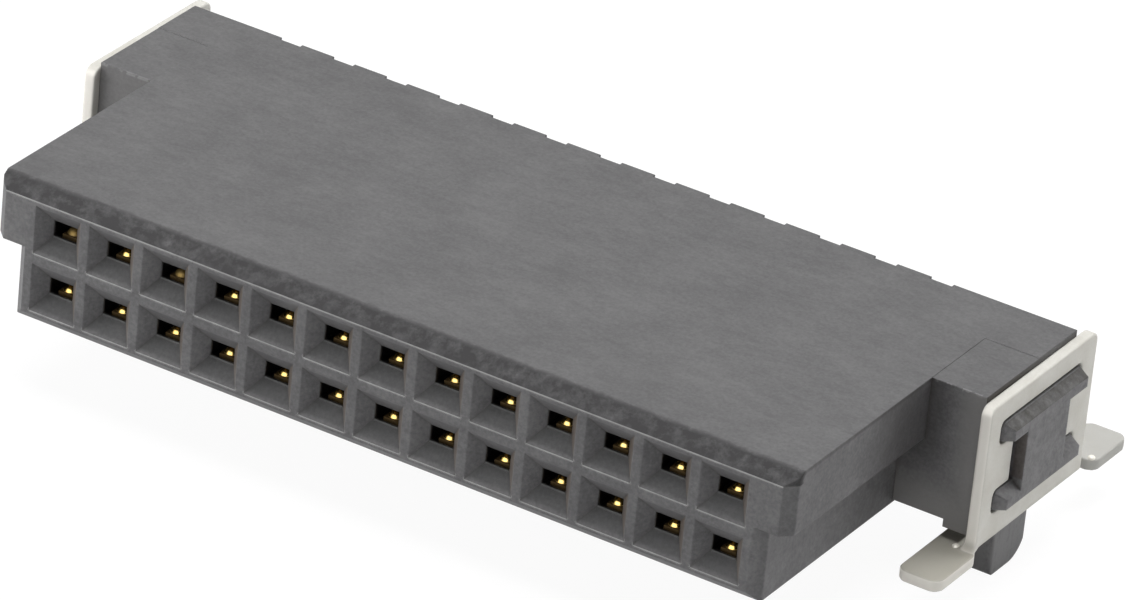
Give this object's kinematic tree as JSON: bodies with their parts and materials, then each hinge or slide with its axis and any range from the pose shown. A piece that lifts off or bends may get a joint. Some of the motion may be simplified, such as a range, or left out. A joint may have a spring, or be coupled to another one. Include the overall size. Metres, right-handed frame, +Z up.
{
  "type": "right-angle socket header",
  "caption": "Right-angle surface-mount board socket: a dark moulded body with two rows of funnelled spring contacts, a polarising step and soldered hold-down clips at both ends.",
  "frame": {"origin": "on the board's top face, midway between the two board pegs", "axes": "+X along the contact rows to the right as seen from the mating face, +Y away from the mating face, +Z up from the board"},
  "size_m": [0.0216, 0.0113, 0.0046],
  "materials": {
    "housing_plastic": "matte charcoal glass-filled moulding",
    "clip_tin": "satin tin plating on stamped sheet",
    "contact_gold": "gold-plated spring strip with tinned tails"
  },
  "bodies": {
    "root": {"housing": "housing_plastic", "left_clip": "clip_tin", "right_clip": "clip_tin", "upper_contact_01": "contact_gold", "upper_contact_02": "contact_gold", "upper_contact_03": "contact_gold", "upper_contact_04": "contact_gold", "upper_contact_05": "contact_gold", "upper_contact_06": "contact_gold", "upper_contact_07": "contact_gold", "upper_contact_08": "contact_gold", "upper_contact_09": "contact_gold", "upper_contact_10": "contact_gold", "upper_contact_11": "contact_gold", "upper_contact_12": "contact_gold", "upper_contact_13": "contact_gold", "lower_contact_01": "contact_gold", "lower_contact_02": "contact_gold", "lower_contact_03": "contact_gold", "lower_contact_04": "contact_gold", "lower_contact_05": "contact_gold", "lower_contact_06": "contact_gold", "lower_contact_07": "contact_gold", "lower_contact_08": "contact_gold", "lower_contact_09": "contact_gold", "lower_contact_10": "contact_gold", "lower_contact_11": "contact_gold", "lower_contact_12": "contact_gold", "lower_contact_13": "contact_gold"}
  },
  "joints": []
}
